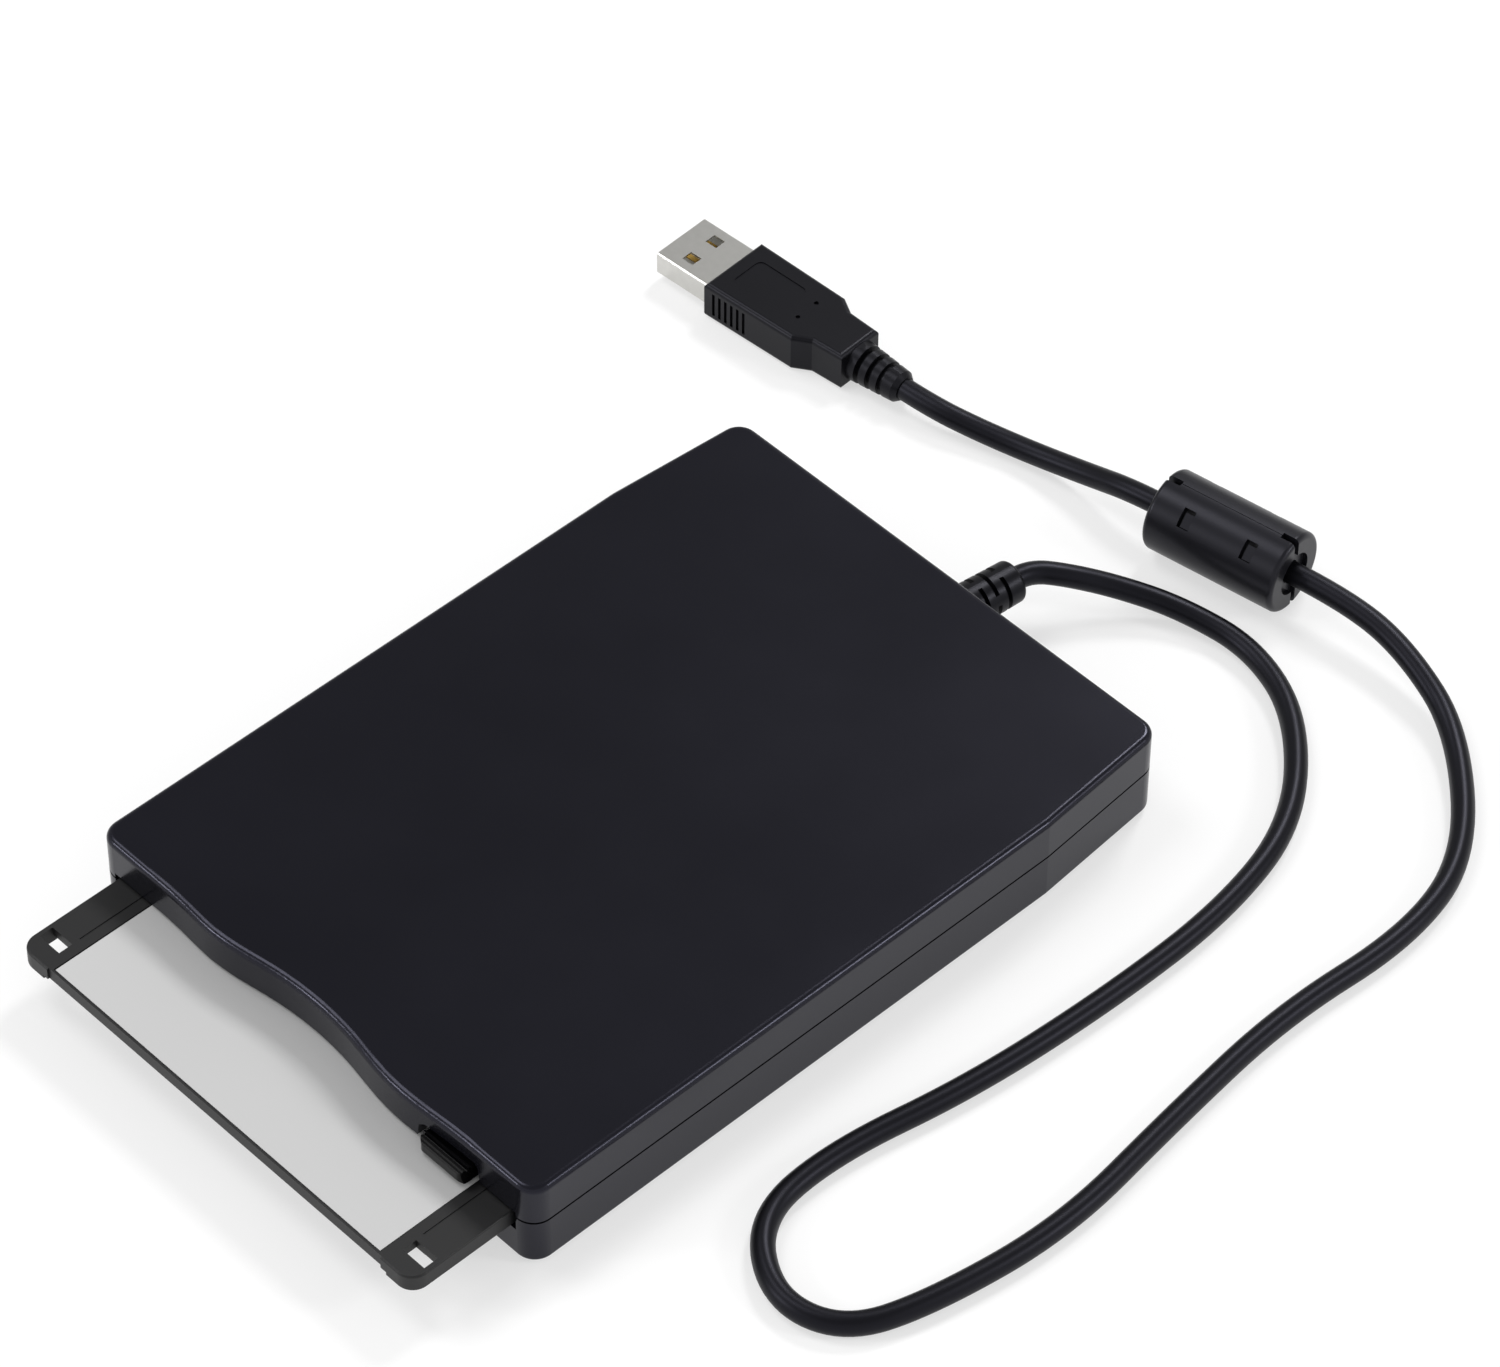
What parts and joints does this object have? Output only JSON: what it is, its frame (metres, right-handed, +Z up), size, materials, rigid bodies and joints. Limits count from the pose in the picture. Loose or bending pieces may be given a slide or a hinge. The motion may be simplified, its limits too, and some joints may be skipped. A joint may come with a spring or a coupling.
{
  "type": "external floppy disk drive",
  "caption": "Slim external 3.5 inch floppy disk drive with an ejected diskette, an eject button and an attached USB cord with a ferrite filter.",
  "frame": {"origin": "on the table under the middle of the housing and the ejected diskette together, cord left out", "axes": "+X to the right seen from the slot, +Y from the slot to the back, +Z up"},
  "size_m": [0.1948, 0.2084, 0.0175],
  "materials": {
    "abs_black": "satin",
    "abs_black_low": "satin",
    "gloss_black": "gloss",
    "rubber_black": "matte",
    "steel_zinc": "zinc plated",
    "steel_bright": "bright",
    "steel_black": "blackened",
    "brass": "turned",
    "lamination": "coated",
    "copper": "enamelled wire",
    "board_green": "solder mask",
    "board_brown": "solder mask",
    "chip_black": "moulded",
    "connector_ivory": "moulded",
    "ffc_white": "film",
    "ferrite": "sintered",
    "led_green": "diffused",
    "disk_shell": "fine grain",
    "label_grey": "coated",
    "liner_white": "non-woven",
    "shutter_metal": "brushed",
    "media_brown": "coated film",
    "wp_tab": "moulded",
    "boot_pvc": "soft",
    "cord_pvc": "soft gloss",
    "case_black": "satin",
    "carriage_plastic": "glass filled",
    "head_ceramic": "polished",
    "gold": "plated",
    "usb_insulator": "moulded"
  },
  "bodies": {
    "housing": {"bottom_cover": "abs_black_low", "top_cover": "abs_black", "rubber_feet": "rubber_black", "screws": "steel_black", "activity_light": "led_green", "drive_chassis": "steel_zinc", "drive_shield": "steel_zinc", "disk_holder": "steel_zinc", "holder_pins": "steel_bright", "trigger_lever": "steel_zinc", "locating_pins": "brass", "motor_board": "board_brown", "stator_core": "lamination", "stator_coils": "copper", "spindle_bearing": "brass", "guide_rods": "steel_bright", "screw_bracket": "steel_zinc", "stepper_motor": "steel_zinc", "track_zero_sensor": "chip_black", "drive_board": "board_green", "drive_board_parts": "chip_black", "usb_board": "board_green", "board_parts": "chip_black", "board_connectors": "connector_ivory", "flat_flex_cable": "ffc_white", "eject_spring": "steel_bright", "cord_boot": "boot_pvc", "cord_tail": "cord_pvc", "cord_main": "cord_pvc", "cord_end": "cord_pvc", "cord_through_filter": "cord_pvc", "filter_case_front": "case_black", "filter_case_back": "case_black", "filter_core": "ferrite", "plug_overmould": "case_black", "plug_shell": "steel_bright", "plug_tongue": "usb_insulator", "plug_contacts": "gold", "plug_boot": "boot_pvc"},
    "diskette": {"diskette_upper_shell": "disk_shell", "diskette_lower_shell": "disk_shell", "label": "label_grey", "liners": "liner_white", "shutter_spring": "steel_bright"},
    "shutter": {"shutter": "shutter_metal"},
    "media": {"media_disc": "media_brown", "media_hub": "steel_bright"},
    "write_protect_tab": {"write_protect_tab": "wp_tab"},
    "slider": {"slider_plate": "steel_zinc", "eject_button": "gloss_black"},
    "rotor": {"rotor_cup": "steel_zinc", "rotor_magnet": "ferrite", "spindle_hub": "steel_bright", "chuck_magnet": "rubber_black"},
    "carriage": {"head_carriage": "carriage_plastic", "lower_head": "head_ceramic", "arm_spring": "steel_bright"},
    "upper_arm": {"upper_head_arm": "carriage_plastic", "upper_head": "head_ceramic"},
    "screw": {"lead_screw": "steel_bright"}
  },
  "joints": [
    {"name": "disk_slide", "type": "slide", "parent": "housing", "child": "diskette", "axis": [0, 1, 0], "range_m": [-0.08, 0.0203]},
    {"name": "shutter_slide", "type": "slide", "parent": "diskette", "child": "shutter", "axis": [-1, 0, 0], "range_m": [0, 0.014], "stiffness_N_per_m": 30, "springref_m": -0.01},
    {"name": "media_spin", "type": "hinge", "parent": "diskette", "child": "media", "pos_m": [0, -0.0284, 0.0087], "axis": [0, 0, 1], "continuous": true},
    {"name": "write_protect_slide", "type": "slide", "parent": "diskette", "child": "write_protect_tab", "axis": [0, -1, 0], "range_m": [0, 0.0045]},
    {"name": "button_press", "type": "slide", "parent": "housing", "child": "slider", "axis": [0, 1, 0], "range_m": [0, 0.0012], "stiffness_N_per_m": 400, "springref_m": -0.01},
    {"name": "spindle_spin", "type": "hinge", "parent": "housing", "child": "rotor", "pos_m": [0, -0.0086, 0.0049], "axis": [0, 0, 1], "continuous": true},
    {"name": "head_step", "type": "slide", "parent": "housing", "child": "carriage", "axis": [0, -1, 0], "range_m": [0, 0.0148]},
    {"name": "lead_screw_spin", "type": "hinge", "parent": "housing", "child": "screw", "pos_m": [0.017, 0.0529, 0.0086], "axis": [0, 1, 0], "range_deg": [0, 1777]},
    {"name": "upper_head_lift", "type": "hinge", "parent": "carriage", "child": "upper_arm", "pos_m": [0, 0.0594, 0.0116], "axis": [-1, 0, 0], "range_deg": [0, 3], "stiffness_Nm_per_rad": 0.01, "springref_deg": -17.19}
  ],
  "couplings": [
    {"joint": "lead_screw_spin", "follows": "head_step", "rad_per_m": 2094.4}
  ]
}
